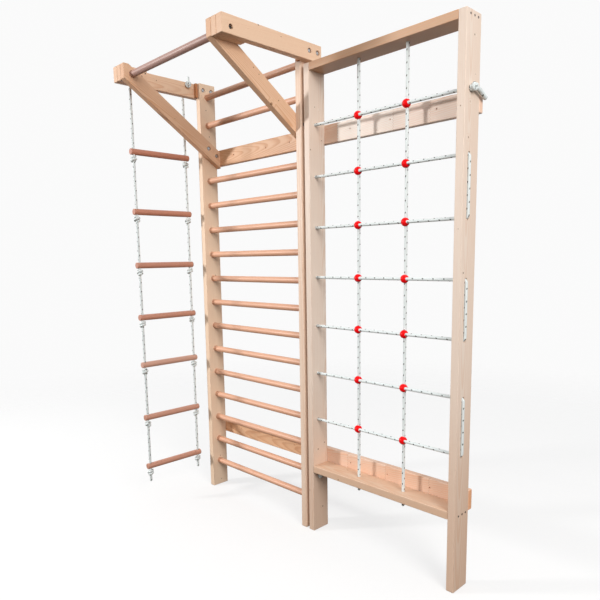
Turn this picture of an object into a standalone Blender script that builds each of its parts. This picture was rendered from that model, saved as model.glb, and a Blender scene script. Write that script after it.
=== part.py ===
# Wall bars with a pull-up bracket, a rope ladder and a climbing-net frame beside them.
# Metres, +Z up, X along the wall, Y into the wall. The floor is z = 0.
import math

import bmesh
import bpy
from mathutils import Matrix, Vector

# Clearance kept between pieces that touch
GAP = 0.0003

# Timber sections
POST_T = 0.035
POST_D = 0.107
BOARD_H = 0.090
BOARD_T = 0.030
ARM_T = 0.038
ARM_H = 0.078
BRACE_T = 0.035
EDGE = 0.002

# Wall bars: two posts, fifteen rungs, two wall boards
BARS_H = 2.400
BARS_CLEAR_W = 0.778
RUNG_D = 0.034
RUNG_INSET = 0.020
RUNG_FROM_FRONT = 0.051
FIRST_RUNG_Z = 0.156
LOWER_RUNGS = 13
TOP_RUNG_DROP = 0.072
TOP_RUNG_PITCH = 0.156
TOP_RUNGS = 2
LOWER_BOARD_Z = 0.331
UPPER_BOARD_DROP = 0.452

# Pull-up bracket: arms outside the posts, braces inside them, blocks and a bar between
ARM_REACH = 0.486
BRACE_SLOPE = math.radians(33.6)
BRACE_LIFT = 0.004
BLOCK_L = 0.155
STOP_T = 0.018
STOP_D = 0.013
BAR_D = 0.035
BAR_FROM_FRONT = 0.048
BAR_DROP = 0.048

# Net frame: two posts, a beam, a shelf and two wall boards, beside the bars and lower than the arm
FRAME_SPACE = 0.020
FRAME_UNDER_ARM = 0.019
FRAME_CLEAR_W = 0.772
SHELF_Z = 0.316

# Rope net: two uprights and one laced rope, pressed into each other in a ball at every crossing
ROPE_D = 0.014
NET_ROWS = 7
NET_COLUMNS = 2
NET_FROM_FRONT = 0.046
ROPE_SQUEEZE = 0.002
LACE_BEND = 0.012
LACE_PROUD = 0.001
BALL_D = 0.037
KNOT_D = 0.034
KNOT_L = 0.030
TAIL_L = 0.040
TAIL_DROP = 0.032
LACE_END_DROP = 0.020
BEAM_POCKET_D = 0.040
BEAM_POCKET_DEPTH = 0.025
SHORT_KNOT_L = 0.022
SHELF_KNOT_L = 0.024
SHELF_TAIL_L = 0.012

# Rope ladder on the outer side of the left arm. Its ropes are knotted inside, the front one in a pocket
LADDER_RUNGS = 7
LADDER_RUNG_D = 0.034
LADDER_RUNG_OVERHANG = 0.018
LADDER_FRONT_ROPE = 0.095
LADDER_ROPE_SPACING = 0.331
LADDER_FIRST_RUNG_DROP = 0.333
LADDER_PITCH = 0.296
LADDER_UNEVEN = (0, -0.023, -0.019, -0.014, 0.011, -0.001, 0.004)
LADDER_KNOT_D = 0.036
LADDER_KNOT_L = 0.042
LADDER_TAIL_L = 0.035
LADDER_HOLE_D = 0.019
LADDER_HOLE_DROPS = (0.034, 0.016)
LADDER_BEND = 0.0095
LADDER_TOP_KNOT_L = 0.026
LADDER_TOP_TAIL_L = 0.044
LADDER_POCKET_D = 0.040
LADDER_POCKET_DEPTH = 0.028

# Through bolts of the bracket, sunk in pockets at both ends, and the screw in each end of the bar
BOLT_D = 0.008
BOLT_POCKET_D = 0.024
BOLT_POCKET_DEPTH = 0.009
BOLT_EDGE = 0.026
ARM_BOLT_DROP = 0.036
FOOT_BOLT_LIFT = 0.005
BAR_SCREW_D = 0.008
BAR_SCREW_DEPTH = 0.045
BAR_SCREW_POCKET_D = 0.022
BAR_SCREW_POCKET_DEPTH = 0.012

# Facets of round pieces, the rounding of a rope's end, a knot's profile as shares of its length and
# half width, how far a cutter stands out of a face, and a merge distance
RUNG_SIDES = 16
ROPE_BEVEL_RESOLUTION = 2
ROPE_SIDES = 8
POCKET_SIDES = 12
BEND_STEPS = 4
BALL_SEGMENTS = 12
BALL_RINGS = 8
SMOOTH_UP_TO = math.radians(40)
ROUND_END = (math.radians(20), math.radians(50), math.radians(90))
KNOT_PROFILE = ((0.06, 0.72), (0.3, 1.0), (0.7, 1.0), (0.94, 0.72))
MOUTH = 0.001
MERGE = 0.00001

# Colours as (red, green, blue), roughness and metallic
PINE = ((0.76, 0.55, 0.38), 0.55, 0.0)
DARK_PINE = ((0.60, 0.30, 0.15), 0.60, 0.0)
PALE_PINE = ((0.80, 0.60, 0.44), 0.55, 0.0)
DOWEL = ((0.74, 0.47, 0.38), 0.50, 0.0)
DARK_DOWEL = ((0.47, 0.20, 0.13), 0.50, 0.0)
ROPE_WHITE = ((0.82, 0.85, 0.84), 0.80, 0.0)
BALL_RED = ((0.75, 0.01, 0.02), 0.25, 0.0)

# Places worked out from the sizes above
SIDES = ("left", "right")
BARS_W = BARS_CLEAR_W + 2 * POST_T
FRAME_W = FRAME_CLEAR_W + 2 * POST_T
LEFT_OF_BARS = LADDER_RUNG_D / 2 + ROPE_D / 2 + GAP + ARM_T + GAP
OVERALL_W = LEFT_OF_BARS + BARS_W + FRAME_SPACE + FRAME_W + GAP + KNOT_L
OVERALL_D = ARM_REACH + POST_D + GAP + BOARD_T

FRONT = ARM_REACH - OVERALL_D / 2
BACK = FRONT + POST_D
ARM_FRONT = FRONT - ARM_REACH
BARS_LEFT = LEFT_OF_BARS - OVERALL_W / 2
BARS_RIGHT = BARS_LEFT + BARS_W
FRAME_LEFT = BARS_RIGHT + FRAME_SPACE
FRAME_RIGHT = FRAME_LEFT + FRAME_W

RUNG_Y = FRONT + RUNG_FROM_FRONT
LOWER_RUNGS_TOP = BARS_H - TOP_RUNG_DROP - (TOP_RUNGS + 1) * TOP_RUNG_PITCH
RUNG_PITCH = (LOWER_RUNGS_TOP - FIRST_RUNG_Z) / (LOWER_RUNGS - 1)
RUNG_HEIGHTS = [FIRST_RUNG_Z + i * RUNG_PITCH for i in range(LOWER_RUNGS)]
RUNG_HEIGHTS += [LOWER_RUNGS_TOP + (i + 2) * TOP_RUNG_PITCH for i in range(TOP_RUNGS)]
UPPER_BOARD_Z = BARS_H - UPPER_BOARD_DROP

ARM_BOTTOM = BARS_H - ARM_H
BAR_Y = ARM_FRONT + BAR_FROM_FRONT
BAR_Z = BARS_H - BAR_DROP
BLOCK_BACK = ARM_FRONT + BLOCK_L

FRAME_H = ARM_BOTTOM - FRAME_UNDER_ARM
BEAM_BOTTOM = FRAME_H - POST_T
SHELF_TOP = SHELF_Z + POST_T
ROPE_R = ROPE_D / 2
NET_Y = FRONT + NET_FROM_FRONT
CROSSING = (ROPE_D - ROPE_SQUEEZE) / 2
LACE_Y = NET_Y - CROSSING
UPRIGHT_Y = NET_Y + CROSSING
ROW_SPACE = (BEAM_BOTTOM - SHELF_TOP) / (NET_ROWS + 1)
ROW_HEIGHTS = [BEAM_BOTTOM - (i + 1) * ROW_SPACE for i in range(NET_ROWS)]
COLUMN_SPACE = FRAME_CLEAR_W / (NET_COLUMNS + 1)
COLUMN_XS = [FRAME_LEFT + POST_T + (i + 1) * COLUMN_SPACE for i in range(NET_COLUMNS)]
LACE_END_Z = SHELF_Z - LACE_END_DROP
LACE_ENDS_LEFT = NET_ROWS % 2 == 1

LADDER_X = BARS_LEFT - GAP - ARM_T - GAP - ROPE_R
LADDER_YS = [ARM_FRONT + LADDER_FRONT_ROPE, ARM_FRONT + LADDER_FRONT_ROPE + LADDER_ROPE_SPACING]
LADDER_HOLES = [(y, BARS_H - drop) for y, drop in zip(LADDER_YS, LADDER_HOLE_DROPS)]
LADDER_FIRST_RUNG_Z = ARM_BOTTOM - LADDER_FIRST_RUNG_DROP
LADDER_HEIGHTS = [LADDER_FIRST_RUNG_Z - i * LADDER_PITCH for i in range(LADDER_RUNGS)]
LADDER_HEIGHTS = [z + uneven for z, uneven in zip(LADDER_HEIGHTS, LADDER_UNEVEN)]


def clear_scene():
    for item in list(bpy.data.objects):
        bpy.data.objects.remove(item)


def paint(item, finish):
    colour, roughness, metallic = finish
    material = bpy.data.materials.new(item.name)
    material.use_nodes = True
    shader = material.node_tree.nodes["Principled BSDF"]
    shader.inputs["Base Color"].default_value = (*colour, 1.0)
    shader.inputs["Roughness"].default_value = roughness
    shader.inputs["Metallic"].default_value = metallic
    item.data.materials.append(material)


def make_object(name, shape, origin=(0, 0, 0)):
    bmesh.ops.translate(shape, verts=shape.verts, vec=-Vector(origin))
    bmesh.ops.recalc_face_normals(shape, faces=shape.faces)
    mesh = bpy.data.meshes.new(name)
    shape.to_mesh(mesh)
    shape.free()
    item = bpy.data.objects.new(name, mesh)
    item.location = origin
    bpy.context.scene.collection.objects.link(item)
    return item


def smooth(item):
    item.data.shade_smooth()
    item.data.set_sharp_from_angle(angle=SMOOTH_UP_TO)


def add_turned(shape, start, end, stations, sides):
    """Add a turned solid on the line from start to end: stations are (distance, radius) pairs."""
    start = Vector(start)
    axis = (Vector(end) - start).normalized()
    turn = axis.to_track_quat("Z", "Y").to_matrix()

    def ring(distance, radius):
        angles = [2 * math.pi * (i + 0.5) / sides for i in range(sides)]
        spokes = [turn @ Vector((math.cos(a), math.sin(a), 0)) for a in angles]
        return [shape.verts.new(start + axis * distance + spoke * radius) for spoke in spokes]

    rings = [ring(distance, radius) for distance, radius in stations]
    shape.faces.new(rings[0])
    shape.faces.new(rings[-1])
    for one, two in zip(rings, rings[1:]):
        for i in range(sides):
            j = (i + 1) % sides
            shape.faces.new((one[i], one[j], two[j], two[i]))


def add_rod(shape, start, end, radius, sides):
    add_turned(shape, start, end, [(0, radius), ((Vector(end) - Vector(start)).length, radius)], sides)


def add_box(shape, low, high, edge):
    """Add a box between two corners with its edges planed off by edge."""
    low = Vector(low)
    high = Vector(high)
    place = Matrix.Translation((low + high) / 2) @ Matrix.Diagonal((*(high - low), 1))
    made = bmesh.ops.create_cube(shape, size=1, matrix=place)
    edges = list({e for v in made["verts"] for e in v.link_edges})
    bmesh.ops.bevel(shape, geom=edges, offset=edge, segments=1, affect="EDGES")


def clear_of(radius, sides):
    """Radius of a many-sided bore that clears a rod of this radius by GAP."""
    return (radius + GAP) / math.cos(math.pi / sides)


def cut(item, tool_shape, operation="DIFFERENCE"):
    """Cut a hidden tool out of an object, or join it on."""
    tool = make_object(f"{item.name}_tool_{len(item.modifiers) + 1}", tool_shape)
    tool.hide_render = True
    tool.display_type = "WIRE"
    change = item.modifiers.new("cut", "BOOLEAN")
    change.operation = operation
    change.solver = "EXACT"
    change.object = tool


def timber(name, low, high, finish):
    shape = bmesh.new()
    add_box(shape, low, high, EDGE)
    item = make_object(name, shape, (Vector(low) + Vector(high)) / 2)
    paint(item, finish)
    return item


def round_piece(name, shape, origin, finish):
    item = make_object(name, shape, origin)
    smooth(item)
    paint(item, finish)
    return item


def dowel(name, start, end, diameter, finish):
    shape = bmesh.new()
    add_rod(shape, start, end, diameter / 2, RUNG_SIDES)
    return round_piece(name, shape, (Vector(start) + Vector(end)) / 2, finish)


def knot_stations(start, length, width):
    """Distances and radii of a knot in a rope: steep shoulders and a full middle."""
    ends = ((0.0, ROPE_R), (1.0, ROPE_R))
    middle = [(share, width / 2 * fullness) for share, fullness in KNOT_PROFILE]
    return [(start + length * share, radius) for share, radius in (ends[0], *middle, ends[1])]


def inward(side, distance):
    """X at a distance inward from the outer face of the left or right post of the bars."""
    if side == "left":
        return BARS_LEFT + distance
    return BARS_RIGHT - distance


def brace_bottom(y):
    return ARM_BOTTOM + BRACE_LIFT - math.tan(BRACE_SLOPE) * (y - ARM_FRONT)


def brace_top(y):
    return brace_bottom(y) + ARM_H / math.cos(BRACE_SLOPE)


def bolt_places():
    """Centre lines of the through bolts of one side: the arm's two and the brace foot's two."""
    places = []
    for y in (FRONT + BOLT_EDGE, BACK - BOLT_EDGE):
        foot_z = (brace_bottom(y) + brace_top(y)) / 2 + FOOT_BOLT_LIFT
        places.append((y, BARS_H - ARM_BOLT_DROP, -GAP - ARM_T, POST_T))
        places.append((y, foot_z, 0, POST_T + GAP + BRACE_T))
    return places


def add_bolt_bores(shape, side, near, far):
    """Add the through bores and end pockets of the bolts that pass from near to far, measured inward."""
    pocket = BOLT_POCKET_D / 2
    bore = clear_of(BOLT_D / 2, POCKET_SIDES)
    for y, z, head, nut in bolt_places():
        if nut < near + GAP or head > far - GAP:
            continue
        stations = [
            (-MOUTH, pocket),
            (BOLT_POCKET_DEPTH, pocket),
            (BOLT_POCKET_DEPTH, bore),
            (nut - head - BOLT_POCKET_DEPTH, bore),
            (nut - head - BOLT_POCKET_DEPTH, pocket),
            (nut - head + MOUTH, pocket),
        ]
        add_turned(shape, (inward(side, head), y, z), (inward(side, nut), y, z), stations, POCKET_SIDES)


def make_bars_posts():
    bore = clear_of(RUNG_D / 2, RUNG_SIDES)
    for side in SIDES:
        xs = sorted((inward(side, 0), inward(side, POST_T)))
        post = timber(f"bars_post_{side}", (xs[0], FRONT, 0), (xs[1], BACK, BARS_H), PINE)
        bores = bmesh.new()
        for z in RUNG_HEIGHTS:
            mouth = (inward(side, POST_T + MOUTH), RUNG_Y, z)
            add_rod(bores, mouth, (inward(side, POST_T - RUNG_INSET - GAP), RUNG_Y, z), bore, RUNG_SIDES)
        add_bolt_bores(bores, side, 0, POST_T)
        cut(post, bores)


def make_rungs():
    for number, z in enumerate(RUNG_HEIGHTS, 1):
        start = (inward("left", POST_T - RUNG_INSET), RUNG_Y, z)
        end = (inward("right", POST_T - RUNG_INSET), RUNG_Y, z)
        dowel(f"rung_{number:02d}", start, end, RUNG_D, DOWEL)


def make_wall_boards():
    spans = (("bars", BARS_LEFT, BARS_RIGHT), ("net", FRAME_LEFT, FRAME_RIGHT))
    for module, left, right in spans:
        for level, z in (("lower", LOWER_BOARD_Z), ("upper", UPPER_BOARD_Z)):
            low = (left, BACK + GAP, z)
            high = (right, BACK + GAP + BOARD_T, z + BOARD_H)
            timber(f"{module}_board_{level}", low, high, PALE_PINE)


def make_arms():
    for side in SIDES:
        xs = sorted((inward(side, -GAP - ARM_T), inward(side, -GAP)))
        arm = timber(f"arm_{side}", (xs[0], ARM_FRONT, ARM_BOTTOM), (xs[1], BACK, BARS_H), PINE)
        bores = bmesh.new()
        add_bolt_bores(bores, side, -GAP - ARM_T, -GAP)
        add_bar_screw_bore(bores, side)
        if side == "left":
            for y, z in LADDER_HOLES:
                outside = (BARS_LEFT - GAP - ARM_T - MOUTH, y, z)
                add_rod(bores, outside, (BARS_LEFT + MOUTH, y, z), LADDER_HOLE_D / 2, POCKET_SIDES)
        cut(arm, bores)


def make_blocks_and_stops():
    for side in SIDES:
        xs = sorted((inward(side, 0), inward(side, POST_T)))
        low = (xs[0], ARM_FRONT, ARM_BOTTOM)
        high = (xs[1], BLOCK_BACK, BARS_H)
        block = timber(f"spacer_block_{side}", low, high, PINE)
        bores = bmesh.new()
        add_bar_bore(bores)
        if side == "left":
            y, z = LADDER_HOLES[0]
            end = (BARS_LEFT + LADDER_POCKET_DEPTH, y, z)
            add_rod(bores, (BARS_LEFT - MOUTH, y, z), end, LADDER_POCKET_D / 2, RUNG_SIDES)
        cut(block, bores)
        xs = sorted((inward(side, 0), inward(side, STOP_T)))
        low = (xs[0], FRONT - GAP - STOP_D, ARM_BOTTOM)
        high = (xs[1], FRONT - GAP, BARS_H)
        timber(f"stop_strip_{side}", low, high, DARK_PINE)


def make_braces():
    for side in SIDES:
        near = inward(side, POST_T + GAP)
        far = inward(side, POST_T + GAP + BRACE_T)
        corner_y = ARM_FRONT + (brace_top(ARM_FRONT) - BARS_H) / math.tan(BRACE_SLOPE)
        outline = [
            (ARM_FRONT, brace_bottom(ARM_FRONT)),
            (ARM_FRONT, BARS_H),
            (corner_y, BARS_H),
            (BACK, brace_top(BACK)),
            (BACK, brace_bottom(BACK)),
        ]
        shape = bmesh.new()
        face = shape.faces.new([shape.verts.new((near, y, z)) for y, z in outline])
        grown = bmesh.ops.extrude_face_region(shape, geom=[face])
        moved = [v for v in grown["geom"] if isinstance(v, bmesh.types.BMVert)]
        bmesh.ops.translate(shape, verts=moved, vec=(far - near, 0, 0))
        bmesh.ops.bevel(shape, geom=list(shape.edges), offset=EDGE, segments=1, affect="EDGES")
        brace = make_object(f"brace_{side}", shape, (near, ARM_FRONT, BARS_H))
        paint(brace, PINE)
        bores = bmesh.new()
        add_bar_bore(bores)
        add_bolt_bores(bores, side, POST_T + GAP, POST_T + GAP + BRACE_T)
        cut(brace, bores)


def add_bar_bore(shape):
    start = (inward("left", -GAP / 2), BAR_Y, BAR_Z)
    end = (inward("right", -GAP / 2), BAR_Y, BAR_Z)
    add_rod(shape, start, end, clear_of(BAR_D / 2, RUNG_SIDES), RUNG_SIDES)


def add_bar_screw_bore(shape, side):
    """Add the pocket and bore of the screw that runs through an arm into the end of the bar."""
    start = (inward(side, -GAP - ARM_T), BAR_Y, BAR_Z)
    end = (inward(side, BAR_SCREW_DEPTH), BAR_Y, BAR_Z)
    stations = [
        (-MOUTH, BAR_SCREW_POCKET_D / 2),
        (BAR_SCREW_POCKET_DEPTH, BAR_SCREW_POCKET_D / 2),
        (BAR_SCREW_POCKET_DEPTH, BAR_SCREW_D / 2),
        (ARM_T + GAP + BAR_SCREW_DEPTH, BAR_SCREW_D / 2),
    ]
    add_turned(shape, start, end, stations, POCKET_SIDES)


def make_bar():
    start = (inward("left", 0), BAR_Y, BAR_Z)
    end = (inward("right", 0), BAR_Y, BAR_Z)
    bar = dowel("pull_up_bar", start, end, BAR_D, DOWEL)
    bores = bmesh.new()
    for side in SIDES:
        add_bar_screw_bore(bores, side)
    cut(bar, bores)


def lace_corners():
    """Corners of the laced rope, from the knot on the right post to the one under the shelf."""
    left = FRAME_LEFT - LACE_PROUD
    right = FRAME_RIGHT + LACE_PROUD
    corners = []
    for number, z in enumerate(ROW_HEIGHTS):
        ends = [(right, z), (left, z)] if number % 2 == 0 else [(left, z), (right, z)]
        corners += ends
    corners.append((left if LACE_ENDS_LEFT else right, LACE_END_Z))
    return corners[1:]


def lace_points(first_x, last_x):
    """The laced rope's centre line with its corners rounded."""
    corners = [(first_x, ROW_HEIGHTS[0])] + lace_corners() + [(last_x, LACE_END_Z)]
    points = [corners[0]]
    for before, corner, after in zip(corners, corners[1:], corners[2:]):
        corner = Vector(corner)
        arrive = (corner - Vector(before)).normalized()
        leave = (Vector(after) - corner).normalized()
        centre = corner + (leave - arrive) * LACE_BEND
        for step in range(BEND_STEPS + 1):
            angle = math.pi / 2 * step / BEND_STEPS
            spoke = arrive * math.sin(angle) - leave * math.cos(angle)
            points.append(tuple(centre + spoke * LACE_BEND))
    points.append(corners[-1])
    return [(x, LACE_Y, z) for x, z in points]


def rope_curve(name, points, radii):
    """A rope as a bevelled curve with filled ends, its radius at each point given by radii."""
    curve = bpy.data.curves.new(name, "CURVE")
    curve.dimensions = "3D"
    curve.bevel_depth = 1.0
    curve.bevel_resolution = ROPE_BEVEL_RESOLUTION
    curve.use_fill_caps = True
    spline = curve.splines.new("POLY")
    spline.points.add(len(points) - 1)
    for spot, point, radius in zip(spline.points, points, radii):
        spot.co = (*point, 1)
        spot.radius = radius
    spline.use_smooth = True
    item = bpy.data.objects.new(name, curve)
    bpy.context.scene.collection.objects.link(item)
    return item


def hanging_rope(name, x, y, top, stations):
    """A rope straight down from top with the radii and distances of its stations."""
    points = [(0, 0, -distance) for distance, radius in stations]
    rope = rope_curve(name, points, [radius for distance, radius in stations])
    rope.location = (x, y, top)
    paint(rope, ROPE_WHITE)
    return rope


def tube_shape(points, radii):
    """The closed surface of a rope, ready for cutting or joining."""
    holder = rope_curve("tube", points, radii)
    mesh = bpy.data.meshes.new_from_object(holder)
    shape = bmesh.new()
    shape.from_mesh(mesh)
    bmesh.ops.remove_doubles(shape, verts=shape.verts, dist=MERGE)
    bpy.data.objects.remove(holder)
    return shape


def make_net_posts():
    for side, x in (("left", FRAME_LEFT), ("right", FRAME_RIGHT - POST_T)):
        post = timber(f"net_post_{side}", (x, FRONT, 0), (x + POST_T, BACK, FRAME_H), PINE)
        points = lace_points(FRAME_RIGHT + KNOT_L, (FRAME_LEFT + FRAME_RIGHT) / 2)
        cut(post, tube_shape(points, [clear_of(ROPE_R, ROPE_SIDES)] * len(points)))


def make_beam_and_shelf():
    left = FRAME_LEFT + POST_T + GAP
    right = FRAME_RIGHT - POST_T - GAP
    rope = clear_of(ROPE_R, ROPE_SIDES)
    for name, z in (("net_beam", BEAM_BOTTOM), ("net_shelf", SHELF_Z)):
        board = timber(name, (left, FRONT, z), (right, BACK, z + POST_T), PINE)
        bores = bmesh.new()
        for x in COLUMN_XS:
            top = (x, UPRIGHT_Y, z + POST_T)
            stations = [(-MOUTH, rope), (POST_T + MOUTH, rope)]
            if name == "net_beam":
                pocket = BEAM_POCKET_D / 2
                depth = BEAM_POCKET_DEPTH
                stations = [(-MOUTH, pocket), (depth, pocket), (depth, rope), (POST_T + MOUTH, rope)]
            add_turned(bores, top, (x, UPRIGHT_Y, z), stations, ROPE_SIDES)
        cut(board, bores)


def upright_shape(x):
    """One upright rope: a knot in the beam's pocket, one under the shelf and a short tail."""
    top = FRAME_H - BEAM_POCKET_DEPTH + GAP + SHORT_KNOT_L
    shelf = top - SHELF_Z + GAP
    stations = knot_stations(0, SHORT_KNOT_L, KNOT_D)
    stations += knot_stations(shelf, SHELF_KNOT_L, KNOT_D)
    stations.append((shelf + SHELF_KNOT_L + SHELF_TAIL_L, ROPE_R))
    points = [(x, UPRIGHT_Y, top - distance) for distance, radius in stations]
    return tube_shape(points, [radius for distance, radius in stations])


def make_net():
    """The laced rope from its knot on the right post to its knot under the shelf, and the uprights."""
    start = FRAME_RIGHT + GAP
    away = 1 if LACE_ENDS_LEFT else -1
    end = (FRAME_LEFT if LACE_ENDS_LEFT else FRAME_RIGHT) + away * (POST_T + GAP)
    knot = knot_stations(0, KNOT_L, KNOT_D)
    start_knot = [(start + distance, radius) for distance, radius in reversed(knot)]
    end_knot = [(end + away * distance, radius) for distance, radius in knot]
    route = lace_points(start, end)[1:-1]
    points = [(x, LACE_Y, ROW_HEIGHTS[0]) for x, radius in start_knot] + route
    points += [(x, LACE_Y, LACE_END_Z) for x, radius in end_knot]
    radii = [radius for x, radius in start_knot] + [ROPE_R] * len(route)
    radii += [radius for x, radius in end_knot]
    net = round_piece("climbing_net", tube_shape(points, radii), (FRAME_LEFT, LACE_Y, 0), ROPE_WHITE)
    middle = Vector((start + KNOT_L / 2, LACE_Y, ROW_HEIGHTS[0]))
    tail = tube_shape([middle, middle + Vector((0, TAIL_L, -TAIL_DROP))], [ROPE_R] * 2)
    cut(net, tail, "UNION")
    for x in COLUMN_XS:
        cut(net, upright_shape(x), "UNION")


def make_balls():
    bore = clear_of(ROPE_R, ROPE_SIDES)
    for column, x in enumerate(COLUMN_XS, 1):
        for row, z in enumerate(ROW_HEIGHTS, 1):
            shape = bmesh.new()
            place = Matrix.Translation((x, NET_Y, z))
            size = {"u_segments": BALL_SEGMENTS, "v_segments": BALL_RINGS, "radius": BALL_D / 2}
            bmesh.ops.create_uvsphere(shape, matrix=place, **size)
            ball = round_piece(f"net_ball_{column}_{row}", shape, (x, NET_Y, z), BALL_RED)
            across = bmesh.new()
            add_rod(across, (x - BALL_D, LACE_Y, z), (x + BALL_D, LACE_Y, z), bore, ROPE_SIDES)
            cut(ball, across)
            down = bmesh.new()
            add_rod(down, (x, UPRIGHT_Y, z + BALL_D), (x, UPRIGHT_Y, z - BALL_D), bore, ROPE_SIDES)
            cut(ball, down)


def make_ladder():
    """Rope ends knotted inside the left arm, and the ladder that swings on one axis level with its underside."""
    pivot = ARM_BOTTOM - GAP - ROPE_R
    hinge = bpy.data.objects.new("ladder_swing", None)
    bpy.context.scene.collection.objects.link(hinge)
    place = Vector((LADDER_X, (LADDER_YS[0] + LADDER_YS[1]) / 2, pivot))
    hinge.location = place
    pieces = []
    for name, (y, z) in zip(("front", "back"), LADDER_HOLES):
        make_ladder_rope_top(name, y, z)
        pieces.append(make_ladder_rope(name, y, pivot))
    for number, z in enumerate(LADDER_HEIGHTS, 1):
        pieces.append(make_ladder_rung(number, z))
    for item in pieces:
        item.parent = hinge
        item.location -= place


def make_ladder_rope_top(name, y, z):
    """The end of a side rope: the knot that it hangs by, its way out through the arm and its bend down."""
    knot = list(reversed(knot_stations(0, LADDER_TOP_KNOT_L, LADDER_KNOT_D)))
    points = [(BARS_LEFT + distance, y, z) for distance, radius in knot]
    radii = [radius for distance, radius in knot]
    for step in range(BEND_STEPS + 1):
        angle = math.pi / 2 * step / BEND_STEPS
        x = LADDER_X + LADDER_BEND * (1 - math.sin(angle))
        points.append((x, y, z - LADDER_BEND * (1 - math.cos(angle))))
    points.append((LADDER_X, y, ARM_BOTTOM))
    radii += [ROPE_R] * (len(points) - len(radii))
    rope = round_piece(f"ladder_rope_top_{name}", tube_shape(points, radii), (LADDER_X, y, z), ROPE_WHITE)
    if name == "back":
        middle = Vector((BARS_LEFT + LADDER_TOP_KNOT_L / 2, y, z))
        cut(rope, tube_shape([middle, middle + Vector((0, 0, LADDER_TOP_TAIL_L))], [ROPE_R] * 2), "UNION")


def make_ladder_rope(name, y, pivot):
    """One side rope of the ladder, rounded at its bend, with a knot under each rung and a tail."""
    top = pivot + ROPE_R
    stations = [(ROPE_R * (1 - math.cos(angle)), ROPE_R * math.sin(angle)) for angle in ROUND_END]
    for z in LADDER_HEIGHTS:
        under_rung = top - (z - LADDER_RUNG_D / 2 - GAP)
        stations += knot_stations(under_rung, LADDER_KNOT_L, LADDER_KNOT_D)
    stations.append((stations[-1][0] + LADDER_TAIL_L, ROPE_R))
    return hanging_rope(f"ladder_rope_{name}", LADDER_X, y, top, stations)


def make_ladder_rung(number, z):
    start = (LADDER_X, LADDER_YS[0] - LADDER_RUNG_OVERHANG, z)
    end = (LADDER_X, LADDER_YS[1] + LADDER_RUNG_OVERHANG, z)
    rung = dowel(f"ladder_rung_{number}", start, end, LADDER_RUNG_D, DARK_DOWEL)
    bores = bmesh.new()
    for y in LADDER_YS:
        up = (LADDER_X, y, z + LADDER_RUNG_D)
        add_rod(bores, up, (LADDER_X, y, z - LADDER_RUNG_D), clear_of(ROPE_R, ROPE_SIDES), ROPE_SIDES)
    cut(rung, bores)
    return rung


clear_scene()
make_bars_posts()
make_rungs()
make_wall_boards()
make_arms()
make_blocks_and_stops()
make_braces()
make_bar()
make_net_posts()
make_beam_and_shelf()
make_net()
make_balls()
make_ladder()
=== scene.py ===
import math

import bpy
from mathutils import Euler, Matrix, Vector


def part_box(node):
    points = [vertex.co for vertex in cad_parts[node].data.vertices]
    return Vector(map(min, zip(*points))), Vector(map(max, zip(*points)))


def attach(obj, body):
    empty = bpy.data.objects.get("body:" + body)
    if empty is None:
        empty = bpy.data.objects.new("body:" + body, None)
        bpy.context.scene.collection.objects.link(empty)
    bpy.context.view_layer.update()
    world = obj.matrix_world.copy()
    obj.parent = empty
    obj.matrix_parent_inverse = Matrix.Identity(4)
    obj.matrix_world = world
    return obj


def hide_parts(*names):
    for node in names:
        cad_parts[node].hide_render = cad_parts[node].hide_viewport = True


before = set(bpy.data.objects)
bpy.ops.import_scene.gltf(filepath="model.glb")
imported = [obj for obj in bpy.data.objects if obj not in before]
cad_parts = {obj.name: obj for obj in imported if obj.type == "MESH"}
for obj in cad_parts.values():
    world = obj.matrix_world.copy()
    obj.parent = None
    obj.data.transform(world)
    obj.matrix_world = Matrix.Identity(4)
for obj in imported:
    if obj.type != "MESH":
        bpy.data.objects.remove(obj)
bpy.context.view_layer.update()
bpy.ops.object.select_all(action="DESELECT")


def placed(name, data):
    """A mesh, a lamp or a camera as a new object in the scene."""
    thing = bpy.data.objects.new(name, data)
    bpy.context.scene.collection.objects.link(thing)
    return thing


def centre_of(box):
    return [(low + high) / 2 for low, high in zip(*box)]


# The view: a camera in front of the set and to its right, a little over half as high as the posts, looking
# slightly down. The picture's middle lies above the lens axis, so the uprights stay nearly upright.
view_place = Vector((2.01545, -1.8356, 1.4054))
view_turn = math.radians(45.746)
view_tip = math.radians(-8.084)
view_roll = math.radians(-0.933)
ahead = Vector((-math.sin(view_turn), math.cos(view_turn), math.tan(view_tip))).normalized()
level = Vector((math.cos(view_turn), math.sin(view_turn), 0))
upward = level.cross(ahead)
view_right = level * math.cos(view_roll) + upward * math.sin(view_roll)
view_up = upward * math.cos(view_roll) - level * math.sin(view_roll)

camera = placed("camera", bpy.data.cameras.new("camera"))
view_axes = Matrix((view_right, view_up, -ahead)).transposed()
camera.matrix_world = Matrix.Translation(view_place) @ view_axes.to_4x4()
camera.data.sensor_width = 36
camera.data.lens = 34.28
camera.data.shift_x = 0.0065
camera.data.shift_y = 0.0653
camera.data.dof.use_dof = False
bpy.context.scene.camera = camera


# The rope ladder's two side ropes: braided white polypropylene with dark tracer ticks. Each is knotted on the
# left arm's inner side, comes out through a bore, bends down and runs through seven rungs, with a knot under
# every one. The front rope's upper knot lies hidden in the spacer block.
rope_thick = 0.014
hole_heights = {"front": 2.366, "back": 2.384}
ladder_bend = 0.0095
rung_knot = {"length": 0.042, "width": 0.036, "turns": 2.1, "strand": 0.0072}
arm_knot = {"length": 0.026, "width": 0.036, "turns": 2.1, "strand": 0.0070}
rope_end_in_knot = 0.014
tail_lifts = (0.014, 0.028, 0.0435)
slack_wave = 0.0016
touch = 0.0003
rope_white = (0.80, 0.86, 0.86, 1)
# The valley colour is painted shade for the creases between the braid's strands.
rope_valley_shade = (0.40, 0.50, 0.53, 1)
rope_tracer = (0.012, 0.022, 0.020, 1)
tick_step = 0.025
strands = 8
strand_pitch = 0.0092


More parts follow.
